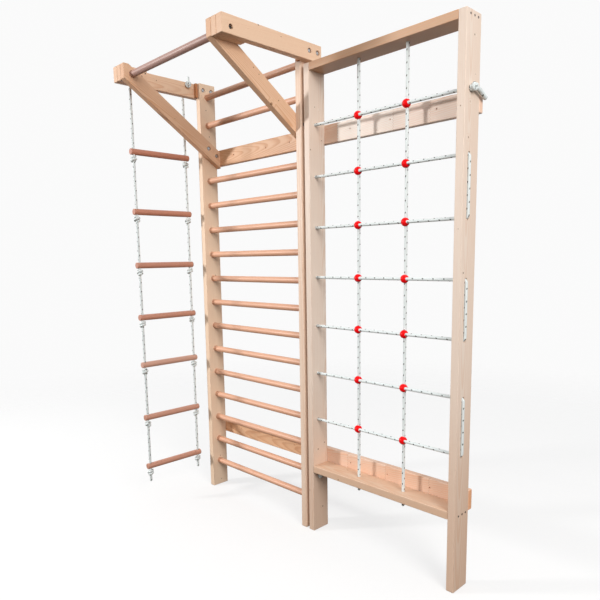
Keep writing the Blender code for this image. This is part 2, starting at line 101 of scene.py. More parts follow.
class Wire:
    """A value, vector or colour on its way through a material. Sums and products add their Math nodes."""

    def __init__(self, tree, socket=None):
        self.tree = tree
        self.socket = socket

    def node(self, kind, sockets, out=0, stops=(), **settings):
        """Add a node: its settings first, then the values or links of its sockets."""
        made = self.tree.nodes.new(kind)
        for name, value in settings.items():
            setattr(made, name, value)
        for number, (place, colour) in enumerate(stops):
            bands = made.color_ramp.elements
            band = bands[number] if number < len(bands) else bands.new(place)
            band.position = place
            band.color = colour
        for name, value in sockets.items():
            if isinstance(value, Wire):
                self.tree.links.new(value.socket, made.inputs[name])
            else:
                made.inputs[name].default_value = value
        if isinstance(out, tuple):
            return [Wire(self.tree, made.outputs[name]) for name in out]
        return Wire(self.tree, made.outputs[out])

    def math(self, operation, other=0.0, **settings):
        return self.node("ShaderNodeMath", {0: self, 1: other}, operation=operation, **settings)

    def __add__(self, other):
        return self.math("ADD", other)

    def __sub__(self, other):
        return self.math("SUBTRACT", other)

    def __rsub__(self, other):
        return self * -1.0 + other

    def __mul__(self, other):
        return self.math("MULTIPLY", other)

    def __truediv__(self, other):
        return self.math("DIVIDE", other)

    def __abs__(self):
        return self.math("ABSOLUTE")

    __radd__ = __add__
    __rmul__ = __mul__

    def fraction(self):
        return self.math("FRACT")

    def whole(self):
        return self.math("FLOOR")

    def clamped(self):
        return self.math("ADD", 0.0, use_clamp=True)

    def rise(self, low, high):
        """0 below low, 1 above high and a smooth rise between them."""
        sockets = {"Value": self, "From Min": low, "From Max": high}
        return self.node("ShaderNodeMapRange", sockets, interpolation_type="SMOOTHSTEP")

    def parts(self):
        return self.node("ShaderNodeSeparateXYZ", {0: self}, out=(0, 1, 2))

    def vector(self, x, y, z):
        return self.node("ShaderNodeCombineXYZ", {0: x, 1: y, 2: z})

    def noise(self, place, scale, detail=2.0, seed=0.0, out=0):
        sockets = {"Vector": place, "Scale": scale, "Detail": detail, "W": seed}
        return self.node("ShaderNodeTexNoise", sockets, out=out, noise_dimensions="4D")

    def mix(self, share, one, two):
        """A colour between two others."""
        return self.node("ShaderNodeMix", {0: share, 6: one, 7: two}, out=2, data_type="RGBA")


def new_finish(name):
    """An empty material: its wire to start from, its shader and the material itself."""
    material = bpy.data.materials.new(name)
    material.use_nodes = True
    tree = material.node_tree
    return Wire(tree), tree.nodes["Principled BSDF"], material


def feed(shader, socket, wire):
    wire.tree.links.new(wire.socket, shader.inputs[socket])


def relief(shader, height, depth):
    """Raise and sink the surface by a height from 0 to 1."""
    bump = height.node("ShaderNodeBump", {"Height": height, "Distance": depth, "Strength": 0.8})
    feed(shader, "Normal", bump)


def rope_finish(name):
    """Braided rope: eight strands each way with painted shade in the valleys between them, and slanted dark
    ticks in rows that alternate round the rope.
    """
    wire, shader, material = new_finish(name)
    mapped = wire.node("ShaderNodeUVMap", {}, uv_map="rope")
    around, along, _ = mapped.parts()
    one = abs(((around * strands + along / strand_pitch) * math.pi).math("SINE"))
    other = abs(((around * strands - along / strand_pitch) * math.pi).math("SINE"))
    plump = one * other
    row = along / tick_step
    across = (around * 2 + (row.whole() / 2).fraction()).fraction() - 0.5
    down = row.fraction() - 0.5
    tick = (1 - abs(across - down * 0.3).rise(0.10, 0.13)) * (1 - abs(down).rise(0.11, 0.15))
    fuzz = wire.noise(mapped.node("ShaderNodeMapping", {0: mapped, 3: (60, 900, 1)}), 1.0)
    # Painted shade: the valleys between the strands are darkened towards the valley colour, with a random
    # fibre tone on top.
    grey = ((1 - plump.rise(0.0, 0.6)) * 0.32 + (fuzz - 0.5) * 0.2).clamped()
    feed(shader, "Base Color", wire.mix(tick, wire.mix(grey, rope_white, rope_valley_shade), rope_tracer))
    feed(shader, "Roughness", 0.55 + (fuzz - 0.5) * 0.3)
    relief(shader, plump * 0.8 + fuzz * 0.2, 0.0007)
    shader.inputs["Sheen Weight"].default_value = 0.15
    return material


rope_material = rope_finish("braided_rope")


def rope_skin(name, route, thick, sides=16, round_ends=True):
    """A rope's skin along its route, with a map of how far round and how far along each point lies."""
    route = [Vector(point) for point in route]
    radii = [thick / 2] * len(route)
    if round_ends:
        for end in (0, -1):
            inward = (route[1] - route[0]) if end == 0 else (route[-2] - route[-1])
            inward = inward.normalized() * thick / 2
            dome = [(math.radians(a), route[end]) for a in (22, 45, 68)]
            places = [tip + inward * (1 - math.cos(a)) for a, tip in dome] + [route[end] + inward]
            sizes = [thick / 2 * math.sin(a) for a, tip in dome] + [thick / 2]
            if end == 0:
                route[:1], radii[:1] = places, sizes
            else:
                route[-1:], radii[-1:] = places[::-1], sizes[::-1]
    steps = [(b - a).normalized() for a, b in zip(route, route[1:])]
    headings = [steps[0]] + [(a + b).normalized() for a, b in zip(steps, steps[1:])] + [steps[-1]]
    side = headings[0].orthogonal().normalized()
    walked = [0.0]
    for a, b in zip(route, route[1:]):
        walked.append(walked[-1] + (b - a).length)
    corners = []
    for point, heading, radius in zip(route, headings, radii):
        side = (side - heading * side.dot(heading)).normalized()
        other = heading.cross(side)
        twist = math.pi / 4 * abs(heading.z)
        for j in range(sides):
            angle = 2 * math.pi * j / sides + twist
            corners.append(point + (side * math.cos(angle) + other * math.sin(angle)) * radius)
    faces = []
    spots = []
    for i in range(len(route) - 1):
        for j in range(sides):
            k = (j + 1) % sides
            faces.append((i * sides + j, i * sides + k, (i + 1) * sides + k, (i + 1) * sides + j))
            spots += [(j, i), (j + 1, i), (j + 1, i + 1), (j, i + 1)]
    last = (len(route) - 1) * sides
    faces.append(tuple(reversed(range(sides))))
    faces.append(tuple(range(last, last + sides)))
    spots += [(sides / 2, 0)] * sides + [(sides / 2, len(route) - 1)] * sides
    mesh = bpy.data.meshes.new(name)
    mesh.from_pydata(corners, [], faces)
    chart = mesh.uv_layers.new(name="rope")
    for loop, (j, i) in enumerate(spots):
        chart.data[loop].uv = (j / sides, walked[i])
    mesh.shade_smooth()
    return placed(name, mesh)


def fit(piece, finish, body, *nodes, slot=None):
    """Give a piece its finish, let it ride on its body and stand for its solids."""
    piece.data.materials.clear()
    piece.data.materials.append(finish)
    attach(piece, body)
    if nodes:
        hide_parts(*nodes)
    return piece


def wound_knot(name, body, start, heading, length, width, turns, phase=0.0, strand=0.0062, tail=()):
    """A stopper knot: the rope wound round itself in leaning turns, its ends led back into the middle."""
    start = Vector(start)
    heading = Vector(heading).normalized()
    side = heading.orthogonal().normalized()
    other = heading.cross(side)
    steps = round(16 * turns)
    route = []
    for step in range(steps + 1):
        share = step / steps
        angle = phase + 2 * math.pi * turns * share
        out = (width / 2 - strand) * min(1.0, math.sin(math.pi * share) * 2.6)
        spoke = side * math.cos(angle) + other * math.sin(angle)
        lean = 0.09 * math.sin(angle + 0.8) * math.sin(math.pi * share)
        route.append(start + heading * length * (0.16 + 0.68 * share + lean) + spoke * out)
    route += [Vector(point) for point in tail]
    knot = rope_skin(name, route, strand * 2, sides=12, round_ends=bool(tail))
    return fit(knot, rope_material, body, slot="rope")


ladder_ropes = {}
for end, phase in (("front", 0.4), ("back", 2.6)):
    low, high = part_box(f"ladder_rope_{end}")
    x, y, _ = centre_of((low, high))
    holes = [centre_of(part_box(f"ladder_rung_{n}"))[2] for n in range(1, 8)]
    route = [(x, y, high.z), (x, y, high.z - 0.04)]
    for number, z in enumerate(holes):
        above = holes[number - 1] - 0.075 if number else high.z - 0.06
        slack = slack_wave * math.cos(2.1 * number + phase)
        middle = (above + z + 0.03) / 2
        route += [(x, y, above), (x + slack, y - slack / 2, middle), (x, y, z + 0.03)]
        route.append((x, y, z - 0.02))
    route += [(x, y, low.z + 0.02), (x, y, low.z)]
    rope = rope_skin(f"side_rope_{end}", route, rope_thick)
    fit(rope, rope_material, "ladder", f"ladder_rope_{end}", slot="rope")
    knots = []
    for number, z in enumerate(holes, 1):
        under = (x, y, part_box(f"ladder_rung_{number}")[0].z - touch)
        name, turn = f"ladder_knot_{end}_{number}", phase + 1.7 * number
        knots.append(wound_knot(name, "ladder", under, (0, 0, -1), phase=turn, **rung_knot))
    ladder_ropes[end] = (rope, route, knots)

    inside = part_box("arm_left")[1].x
    hole = hole_heights[end]
    stub_route = [(inside + rope_end_in_knot, y, hole)]
    for step in range(9):
        angle = math.pi / 2 * step / 8
        out, down = ladder_bend * (1 - math.sin(angle)), ladder_bend * (1 - math.cos(angle))
        stub_route.append((x + out, y, hole - down))
    stub_route += [(x, y, hole - 0.02), (x, y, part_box("arm_left")[0].z)]
    stub = rope_skin(f"side_rope_top_{end}", stub_route, rope_thick)
    fit(stub, rope_material, "frame", f"ladder_rope_top_{end}", slot="rope")
    tail = [(inside + 0.013, y + 0.001, hole + lift) for lift in tail_lifts]
    start = (inside + touch, y, hole)
    name, shown = f"ladder_top_knot_{end}", tail if end == "back" else ()
    bundle = wound_knot(name, "frame", start, (1, 0, 0), phase=phase, tail=shown, **arm_knot)


# The ladder's seven rungs: turned hardwood, stained red-brown, bored for the ropes near both ends. The ends
# and the mouths of the bores are eased by hand, and each rung has its own grain and its own depth of stain.
ladder_rung_light = (0.600, 0.255, 0.165)
ladder_rung_dark = (0.320, 0.110, 0.070)
ladder_rung_bare = (0.700, 0.430, 0.330)
ladder_rung_paling = (0.0, 0.05, 0.2, 0.25, 0.8, 0.45, 0.4)
ladder_rung_ease = 0.0022
rung_bore = 0.0076
bore_margin = 0.013

grain_turns = {
    "x": (0, math.radians(-90), 0),
    "y": (math.radians(90), 0, 0),
    "z": (0, 0, 0),
}


def wood_finish(
    name, box, grain, light, dark, seed, ring=0.0042, pith=(0.05, 0.03), lean=(0.02, 0.0), wander=0.016,
    contrast=0.6, pins=0.0, knots=(), blocks=(), rough=0.48, turn=None, foot=0.0
):
    """Wood: rings about a pith, fibres, pin knots, knots, dark ends, glued blocks and painted shade darkening
    the foot.
    """
    wire, shader, material = new_finish(name)
    turn = turn or grain_turns[grain]
    middle = (Vector(box[0]) + Vector(box[1])) / 2
    shift = -(Euler(turn).to_matrix() @ middle)
    place, facing = wire.node("ShaderNodeTexCoord", {}, out=("Object", "Normal"))
    laid = wire.node("ShaderNodeMapping", {0: place, 1: shift, 2: turn})
    x, y, z = laid.parts()
    tone = gap = heart = 0.0
    finger = abs((x / 0.012).fraction() - 0.5) * 0.012
    along = z
    for joint, step in blocks:
        beyond = along + finger - joint
        past = beyond.math("GREATER_THAN", 0.0)
        tone = past * step + tone
        z = z + past * 3.7
        gap = (1 - abs(beyond).rise(0.0004, 0.0012)) + gap
    stretched = wire.vector(x, y, z * 0.13)
    drift = wire.noise(stretched, 7.0, 3.0, seed, out=1)
    drift_x, drift_y, _ = drift.parts()
    dots = wire.node("ShaderNodeVectorMath", {0: laid, 1: (seed, seed * 2, seed * 5)}, operation="ADD")
    pin = wire.node("ShaderNodeTexVoronoi", {"Vector": dots, "Scale": 11.0})
    from_pith_x = x + (drift_x - 0.5) * wander + z * lean[0] - pith[0]
    from_pith_y = y + (drift_y - 0.5) * wander + z * lean[1] - pith[1]
    distance = (from_pith_x * from_pith_x + from_pith_y * from_pith_y).math("SQRT")
    years = distance / ring
    if pins:
        years = years + (1 - pin.rise(0.0, 0.16)) * 1.6
    for spot, radius in knots:
        reach = wire.node("ShaderNodeVectorMath", {0: place, 1: spot}, out=1, operation="DISTANCE") / radius
        years = years + (1 - reach.rise(0.0, 4.5)) * 3.0
        heart = (1 - reach.rise(0.75, 1.05)) + heart
    year = years.fraction()
    late = year.rise(0.25, 0.85) * (1 - year.rise(0.9, 1.0))
    vigour = wire.noise(wire.vector(years.whole(), 0.0, z * 0.8), 0.9, 1.0, seed)
    fibre = wire.noise(wire.vector(x, y, z * 0.022), 520.0, 2.0, seed)
    cloud = wire.noise(stretched, 3.2, 2.0, seed + 4)
    shade = late * (vigour * 1.3) * contrast + (fibre - 0.5) * 0.3 + (cloud - 0.5) * 0.7 + 0.14
    # Painted shade: foot darkens the wood towards the floor, where less light falls.
    shade = shade + tone + (1 - place.parts()[2].rise(0.1, 1.0)) * foot
    facing_parts = facing.parts()
    end_grain = abs(facing_parts["xyz".index(grain)]).rise(0.75, 0.95)
    shade = shade + end_grain * 0.22
    colour = wire.mix(shade.clamped(), light, dark)
    deep = tuple(c * 0.42 for c in dark[:3]) + (1,)
    if pins:
        core = 1 - pin.rise(pins * 0.55, pins)
        colour = wire.mix(core * 0.85, colour, deep)
    if knots:
        colour = wire.mix((heart * 0.9).clamped(), colour, deep)
    if blocks:
        colour = wire.mix((gap * 0.5).clamped(), colour, deep)
    feed(shader, "Base Color", colour)
    feed(shader, "Roughness", rough + (fibre - 0.5) * 0.22 + late * 0.06)
    relief(shader, late * 0.35 + fibre * 0.65, 0.0002)
    return material


def cylinder(start, end, radius, sides):
    start, end = Vector(start), Vector(end)
    turn = (end - start).to_track_quat("Z", "Y").to_euler()
    bpy.ops.mesh.primitive_cylinder_add(
        vertices=sides, radius=radius, depth=(end - start).length, location=(start + end) / 2, rotation=turn
    )
    return bpy.context.object


def dowel(name, start, end, diameter, ease, stations=(), sides=40):
    """A turned round bar with eased ends, cut into lengths at the stations so that bores keep it round."""
    piece = cylinder(start, end, diameter / 2, sides)
    piece.name = name
    bpy.ops.object.transform_apply()
    ends = [f for f in piece.data.polygons if len(f.vertices) == sides]
    rims = {tuple(sorted(key)) for f in ends for key in f.edge_keys}
    bpy.ops.object.mode_set(mode="EDIT")
    bpy.ops.mesh.select_mode(type="EDGE")
    bpy.ops.mesh.select_all(action="DESELECT")
    bpy.ops.object.mode_set(mode="OBJECT")
    for edge in piece.data.edges:
        edge.select = tuple(sorted(edge.vertices)) in rims
    bpy.ops.object.mode_set(mode="EDIT")
    bpy.ops.mesh.bevel(offset=ease, segments=3, affect="EDGES")
    axis = (Vector(end) - Vector(start)).normalized()
    for point in stations:
        bpy.ops.mesh.select_all(action="SELECT")
        bpy.ops.mesh.bisect(plane_co=point, plane_no=axis)
    bpy.ops.mesh.select_all(action="SELECT")
    bpy.ops.mesh.normals_make_consistent(inside=False)
    bpy.ops.mesh.select_mode(type="VERT")
    bpy.ops.object.mode_set(mode="OBJECT")
    return piece


def bore(piece, *rods, sides=32):
    """Bore round holes: each rod is its start, its end and its radius."""
    for start, end, radius in rods:
        carve(piece, cylinder(start, end, radius, sides))


def carve(piece, cutter):
    """Take a cutter's shape out of a piece."""
    change = piece.modifiers.new("carve", "BOOLEAN")
    change.operation = "DIFFERENCE"
    change.solver = "EXACT"
    change.object = cutter
    bpy.context.view_layer.objects.active = piece
    bpy.ops.object.modifier_apply(modifier="carve")
    bpy.data.objects.remove(cutter)


def dress_edges(piece, rim=0.0):
    """Ease the rims of the bores, and shade the rounded edges smoothly with the flat faces flat."""
    bpy.ops.object.select_all(action="DESELECT")
    piece.select_set(True)
    bpy.context.view_layer.objects.active = piece
    if rim:
        change = piece.modifiers.new("rims", "BEVEL")
        change.width = rim
        change.segments = 2
        change.limit_method = "ANGLE"
        change.angle_limit = math.radians(50)
        bpy.ops.object.modifier_apply(modifier="rims")
    bpy.ops.object.shade_smooth_by_angle(angle=math.radians(42))
    change = piece.modifiers.new("flats", "WEIGHTED_NORMAL")
    change.keep_sharp = True
    bpy.ops.object.modifier_apply(modifier="flats")
    return piece


rope_ys = [route[0][1] for rope, route, knots in ladder_ropes.values()]
for number in range(1, 8):
    node = f"ladder_rung_{number}"
    low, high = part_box(node)
    x, _, z = centre_of((low, high))
    stations = [(x, y + side * bore_margin, z) for y in rope_ys for side in (-1, 1)]
    ends = (x, low.y, z), (x, high.y, z)
    rung = dowel(f"{node}_wood", *ends, high.x - low.x, ladder_rung_ease, stations)
    bore(rung, *[((x, y, z + 0.03), (x, y, z - 0.03), rung_bore) for y in rope_ys])
    dress_edges(rung, 0.0009)
    paling = ladder_rung_paling[number - 1]
    light = (*Vector(ladder_rung_light).lerp(Vector(ladder_rung_bare), paling), 1)
    dark = (*Vector(ladder_rung_dark).lerp(Vector(ladder_rung_bare), paling * 0.6), 1)
    finish = wood_finish(
        f"red_hardwood_{number}", (low, high), "y", light, dark, seed=number * 1.37,
        ring=0.0031, pith=(0.018, -0.012), lean=(0.012, 0.03), contrast=0.45, rough=0.42
    )
    fit(rung, finish, "ladder", node, slot="ladder_rung_wood")


# The two posts of the wall bars: planed pine with rounded edges, mortised for fifteen rungs on their inner
# faces. Their tops and the feet of the braces take through bolts, whose ends are sunk in round pockets.
# The left post's lighter colour is painted light: it makes up for the lamp light that this post gets less of.
pine_lights = {"left": (0.930, 0.730, 0.550, 1), "right": (0.820, 0.650, 0.525, 1)}
pine_dark = (0.650, 0.370, 0.215, 1)
post_knots = {
    "left": [(0.2157, 2.256), (0.2331, 2.112), (0.2291, 0.184), (0.2319, 0.03), (0.2402, 1.31)],
    "right": [(0.2214, 1.52), (0.2506, 0.77)],
}
post_edge = 0.003
mortise_depth = 0.0203
mortise_radius = 0.0173
bolt_bore = 0.0045
pocket_radius = 0.012
pocket_depth = 0.009
bolt_from_edge = 0.026
arm_bolt_height = 2.364
foot_bolt_lift = 0.005
overrun = 0.01


def plank(name, box, edge, cuts=()):
    """A planed board between two corners, sawn off at the cuts, with its edges rounded over."""
    low, high = Vector(box[0]), Vector(box[1])
    bpy.ops.mesh.primitive_cube_add(size=1, location=(low + high) / 2, scale=high - low)
    piece = bpy.context.object
    piece.name = name
    bpy.ops.object.transform_apply()
    bpy.ops.object.mode_set(mode="EDIT")
    for point, outward in cuts:
        bpy.ops.mesh.select_all(action="SELECT")
        bpy.ops.mesh.bisect(plane_co=point, plane_no=outward, use_fill=True, clear_outer=True)
    bpy.ops.mesh.select_all(action="SELECT")
    bpy.ops.mesh.normals_make_consistent(inside=False)
    bpy.ops.mesh.bevel(offset=edge, segments=3, affect="EDGES")
    bpy.ops.object.mode_set(mode="OBJECT")
    return piece


posts = {side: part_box(f"bars_post_{side}") for side in ("left", "right")}
arms = {side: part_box(f"arm_{side}") for side in ("left", "right")}
braces = {side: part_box(f"brace_{side}") for side in ("left", "right")}
rung_boxes = [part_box(f"rung_{number:02d}") for number in range(1, 16)]
post_front = posts["left"][0].y
post_back = posts["left"][1].y
arm_front = arms["left"][0].y
brace_slope = math.radians(33.6)
brace_lower = 2.326
brace_thick = 0.078
brace_plumb = brace_thick / math.cos(brace_slope)
bolt_ys = (post_front + bolt_from_edge, post_back - bolt_from_edge)
arm_bolts = [(y, arm_bolt_height) for y in bolt_ys]
foot_bolts = []
for y in bolt_ys:
    underside = brace_lower - math.tan(brace_slope) * (y - arm_front)
    foot_bolts.append((y, underside + brace_plumb / 2 + foot_bolt_lift))


def faces_of(box, side):
    """The outer and the inner X of a piece, and the direction from one to the other."""
    if side == "left":
        return box[0].x, box[1].x, 1
    return box[1].x, box[0].x, -1


def bore_across(piece, start, end, y, z, radius, sides=32):
    """Bore a round hole along X."""
    bore(piece, ((start, y, z), (end, y, z), radius), sides=sides)


def bolt_holes(piece, box, side, spots, sunk):
    """Bores for through bolts, each with a round pocket in the piece's outer or inner face."""
    outer, inner, way = faces_of(box, side)
    pocket = (outer - way * overrun, outer + way * pocket_depth)
    if sunk == "inner":
        pocket = (inner - way * pocket_depth, inner + way * overrun)
    for y, z in spots:
        bore_across(piece, outer - way * overrun, inner + way * overrun, y, z, bolt_bore)
        bore_across(piece, *pocket, y, z, pocket_radius)


for side in ("left", "right"):
    node = f"bars_post_{side}"
    outer, inner, way = faces_of(posts[side], side)
    post = plank(f"{node}_wood", posts[side], post_edge)
    for box in rung_boxes:
        _, y, z = centre_of(box)
        bore_across(post, inner + way * overrun, inner - way * mortise_depth, y, z, mortise_radius)
    bolt_holes(post, posts[side], side, arm_bolts, "inner")
    bolt_holes(post, posts[side], side, foot_bolts, "outer")
    dress_edges(post, 0.0007)
    seed, pith = (2.1, (0.055, -0.07)) if side == "left" else (6.4, (-0.03, 0.09))
    knots = [((posts[side][1].x, y, z), 0.0035) for y, z in post_knots[side]]
    finish = wood_finish(
        f"pine_post_{side}", posts[side], "z", pine_lights[side], pine_dark, seed,
        pith=pith, contrast=0.5, pins=0.034, knots=knots
    )
    fit(post, finish, "frame", node, slot="pine")


# Fifteen rungs: turned beech, 34 mm thick, tenoned into the posts, each with its own grain.
rung_light = (0.820, 0.480, 0.320, 1)
rung_dark = (0.520, 0.220, 0.125, 1)

for number, (low, high) in enumerate(rung_boxes, 1):
    node = f"rung_{number:02d}"
    _, y, z = centre_of((low, high))
    rung = dowel(f"{node}_wood", (low.x, y, z), (high.x, y, z), high.z - low.z, 0.002)
    dress_edges(rung)
    pith = (0.02 + 0.004 * (number % 4), 0.015 - 0.006 * (number % 5))
    finish = wood_finish(
        f"beech_rung_{number:02d}", (low, high), "x", rung_light, rung_dark, seed=3.3 + number * 0.83,
        ring=0.0036, pith=pith, lean=(0.01, 0.02), contrast=0.42, rough=0.40
    )
    fit(rung, finish, "frame", node, slot="rung_wood")


# Two wall boards behind the posts: pine, flat sawn, so the upper one shows long arched grain. Each is held
# by two screws into each post's back, and has three bores for the wall's own screws.
# The lower board's lighter colour is painted light that lifts it out of the shade it lies in.
board_lights = {"lower": (0.930, 0.600, 0.370, 1), "upper": (0.800, 0.500, 0.295, 1)}
board_dark = (0.560, 0.235, 0.095, 1)
board_edge = 0.0045
wall_hole_radius = 0.0032
wall_hole_lift = 0.004
bar_board_holes = (-0.646, -0.369, -0.185)


def wall_board(node, holes, finish):
    """A board behind two posts, with bores for the wall's screws a little over its middle."""
    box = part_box(node)
    board = plank(f"{node}_wood", box, board_edge)
    z = centre_of(box)[2] + wall_hole_lift
    for x in holes:
        bore(board, ((x, box[0].y - overrun, z), (x, box[1].y + overrun, z), wall_hole_radius), sides=20)
    dress_edges(board, 0.0006)
    fit(board, finish, "frame", node, slot="pale_pine")


for level, pith, lean in (("lower", (0.012, 0.04), (0.01, 0.05)), ("upper", (-0.006, 0.045), (0.02, -0.085))):
    node = f"bars_board_{level}"
    seed = 1.2 if level == "upper" else 8.8
    finish = wood_finish(
        f"flat_sawn_pine_{level}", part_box(node), "x", board_lights[level], board_dark, seed,
        ring=0.0062, pith=pith, lean=lean, wander=0.06, contrast=0.62, pins=0.026
    )
    wall_board(node, bar_board_holes, finish)


# The pull-up bracket's two arms: pine beams on the posts' outer faces, bolted through their tops. Each has
# a recess for the screw in the bar's end, and the left one has two bores for the rope ladder.
arm_light = (0.830, 0.600, 0.430, 1)
arm_dark = (0.640, 0.335, 0.180, 1)
arm_knots = {"left": [(-0.0809, 2.371, 0.0035)], "right": [(-0.1129, 2.3975, 0.005), (0.0187, 2.381, 0.0025)]}
arm_edge = 0.0035
rope_bore = 0.0095
recess_depth = 0.012
recess_radius = 0.011
pilot_radius = 0.004
bar_low, bar_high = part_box("pull_up_bar")
_, bar_y, bar_z = centre_of((bar_low, bar_high))

for side in ("left", "right"):
    node = f"arm_{side}"
    outer, inner, way = faces_of(arms[side], side)
    arm = plank(f"{node}_wood", arms[side], arm_edge)
    bolt_holes(arm, arms[side], side, arm_bolts, "outer")
    bore_across(arm, outer - way * overrun, outer + way * recess_depth, bar_y, bar_z, recess_radius)
    bore_across(arm, outer - way * overrun, inner + way * overrun, bar_y, bar_z, pilot_radius)
    if side == "left":
        for y, z in zip(rope_ys, hole_heights.values()):
            bore_across(arm, outer - overrun, inner + overrun, y, z, rope_bore)
    dress_edges(arm, 0.0007)
    seed, pith = (4.7, (-0.04, 0.015)) if side == "left" else (9.6, (0.03, 0.045))
    knots = [((arms[side][1].x, y, z), radius) for y, z, radius in arm_knots[side]]
    finish = wood_finish(
        f"pine_arm_{side}", arms[side], "y", arm_light, arm_dark, seed,
        pith=pith, lean=(0.03, 0.05), pins=0.032, knots=knots
    )
    fit(arm, finish, "frame", node, slot="pine")


# The two braces: sloping pine struts inside the posts, sawn level with the arm's top at the front and plumb
# at both ends. The bar runs through their upper ends, and two bolts hold each foot to its post.
brace_light = (0.800, 0.540, 0.365, 1)
brace_dark = (0.590, 0.280, 0.130, 1)
brace_knots = {
    "left": [(-0.02, 2.17, 0.003)],
    "right": [
        (-0.0839, 2.2474, 0.003),
        (-0.0519, 2.2243, 0.003),
        (0.0651, 2.1321, 0.0035),
        (0.0194, 2.1093, 0.007),
    ],
}
bar_hole = 0.0178
saw_room = Vector((0, 0, 0.02))
slope_up = Vector((0, math.sin(brace_slope), math.cos(brace_slope)))

for side in ("left", "right"):
    node = f"brace_{side}"
    outer, inner, way = faces_of(braces[side], side)
    under = ((0, arm_front, brace_lower), -slope_up)
    over = ((0, arm_front, brace_lower + brace_plumb), slope_up)
    low, high = braces[side]
    brace = plank(f"{node}_wood", (low - saw_room, high), post_edge, (under, over))
    bore_across(brace, outer - way * overrun, inner + way * overrun, bar_y, bar_z, bar_hole, sides=40)
    bolt_holes(brace, braces[side], side, foot_bolts, "inner")
    dress_edges(brace, 0.0007)
    seed, pith = (5.9, (0.06, 0.02)) if side == "left" else (12.3, (-0.05, 0.03))
    knots = [((high.x, y, z), radius) for y, z, radius in brace_knots[side]]
    finish = wood_finish(
        f"pine_brace_{side}", braces[side], "y", brace_light, brace_dark, seed, pith=pith, lean=(0.02, 0.06),
        contrast=0.6, pins=0.034, knots=knots, turn=(math.radians(90) + brace_slope, 0, 0)
    )
    fit(brace, finish, "frame", node, slot="pine")


# Spacer blocks fill the front between arm and brace. The bar passes through them, and the left one has a
# pocket for the front rope's knot. A stop strip stands before each post, inside its arm; its dark colour is
# painted shadow.
# The stop strips' dark colours are painted shadow, the shade in the corner between arm and post.
shadow_strip_light = (0.560, 0.245, 0.105, 1)
shadow_strip_dark = (0.330, 0.120, 0.045, 1)
strip_edge = 0.0015
knot_pocket_radius = 0.02
block_pocket_depth = 0.028

for side in ("left", "right"):
    node = f"spacer_block_{side}"
    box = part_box(node)
    outer, inner, way = faces_of(box, side)
    block = plank(f"{node}_wood", box, arm_edge)
    bore_across(block, outer - way * overrun, inner + way * overrun, bar_y, bar_z, bar_hole, sides=40)
    if side == "left":
        y, z = rope_ys[0], hole_heights["front"]
        bore_across(block, outer - overrun, outer + block_pocket_depth, y, z, knot_pocket_radius, sides=40)
    dress_edges(block, 0.0007)
    seed = 7.7 if side == "left" else 10.1
    finish = wood_finish(f"pine_block_{side}", box, "y", arm_light, arm_dark, seed, pith=(0.03, -0.05))
    fit(block, finish, "frame", node, slot="pine")

    # The strip's dark finish is painted shadow.
    node = f"stop_strip_{side}"
    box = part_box(node)
    strip = dress_edges(plank(f"{node}_wood", box, strip_edge))
    finish = wood_finish(f"painted_shadow_pine_{side}", box, "z", shadow_strip_light, shadow_strip_dark, seed + 3, ring=0.003)
    fit(strip, finish, "frame", node, slot="dark_pine")


# The pull-up bar: turned beech, 35 mm thick, darker and less orange than the rungs. It reaches from arm to
# arm, and each end has a pilot bore for its screw.
bar_light = (0.480, 0.295, 0.250, 1)
bar_dark = (0.270, 0.130, 0.100, 1)
bar_ease = 0.001
pilot_depth = 0.045

ends = (bar_low.x, bar_y, bar_z), (bar_high.x, bar_y, bar_z)
bar = dowel("pull_up_bar_wood", *ends, bar_high.z - bar_low.z, bar_ease, sides=48)
for (x, y, z), way in zip(ends, (1, -1)):
    bore_across(bar, x - way * overrun, x + way * pilot_depth, y, z, pilot_radius)
dress_edges(bar)
finish = wood_finish(
    "beech_bar", (bar_low, bar_high), "x", bar_light, bar_dark, seed=21.4,
    ring=0.0036, pith=(0.03, 0.01), contrast=0.5, rough=0.38
)
fit(bar, finish, "frame", "pull_up_bar", slot="rung_wood")


# The bracket's fasteners: eight zinc-plated M8 bolts, each with a hexagon head on a washer in one pocket and
# a washer, a nut and the thread's end in the other, and a hexagon socket screw in each end of the bar.
zinc = (0.50, 0.51, 0.53, 1)
dark_steel = (0.085, 0.080, 0.078, 1)
washer_thick, washer_radius = 0.0016, 0.0105
hexagon_radius, hexagon_ease = 0.0075, 0.0007
head_high, nut_high = 0.0053, 0.0058
boss_start, boss_high, boss_radius = 0.0066, 0.0007, 0.0056
thread_start, thread_long = 0.007, 0.0016
shank_radius, thread_radius = 0.004, 0.0038
bar_washer_thick, bar_washer_radius = 0.0012, 0.0098
socket_head_high, socket_head_radius = 0.006, 0.0065
socket_depth, socket_radius = 0.0045, 0.0034
bar_screw_long, bar_screw_radius = 0.066, 0.0037


def steel_finish(name, colour, rough):
    """Plated steel: cloudy plating, fine turned lines and dull spots."""
    wire, shader, material = new_finish(name)
    place = wire.node("ShaderNodeTexCoord", {}, out="Object")
    cloud = wire.noise(place, 260.0, 3.0)
    scratch = wire.noise(wire.node("ShaderNodeMapping", {0: place, 3: (1, 9, 9)}), 700.0, 2.0)
    dull = tuple(c * 0.62 for c in colour[:3]) + (1,)
    feed(shader, "Base Color", wire.mix(cloud.rise(0.35, 0.7), colour, dull))
    feed(shader, "Roughness", rough + (cloud - 0.5) * 0.25 + (scratch - 0.5) * 0.12)
    relief(shader, scratch, 0.00006)
    shader.inputs["Metallic"].default_value = 0.9
    return material


def short_rod(start, heading, length, radius, sides, ease):
    """A short rod with eased rims, such as a head, a nut, a washer or a thread's end."""
    start, heading = Vector(start), Vector(heading).normalized()
    return dowel("rod", start, start + heading * length, radius * 2, ease, sides=sides)


